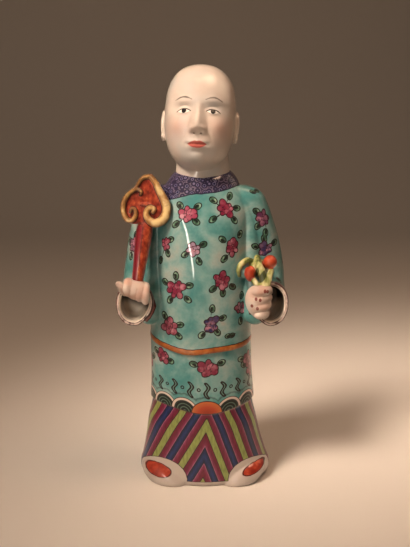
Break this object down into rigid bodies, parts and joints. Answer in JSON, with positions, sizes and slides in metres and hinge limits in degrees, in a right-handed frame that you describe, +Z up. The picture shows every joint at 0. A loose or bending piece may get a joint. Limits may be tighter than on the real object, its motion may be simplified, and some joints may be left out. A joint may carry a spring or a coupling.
{
  "type": "standing porcelain attendant figure",
  "caption": "Standing bald attendant in a wide-sleeved robe, holding a cloud-headed sceptre and a spray of fruit, glazed porcelain with painted enamel decoration.",
  "frame": {"origin": "on the underside, below the middle of the body", "axes": "+Z up the figure, -Y out of its front, +X to its left hand"},
  "size_m": [0.0923, 0.0542, 0.2294],
  "materials": {
    "porcelain": "glossy glaze with painted enamels"
  },
  "bodies": {
    "root": {"figure": "porcelain"}
  },
  "joints": []
}
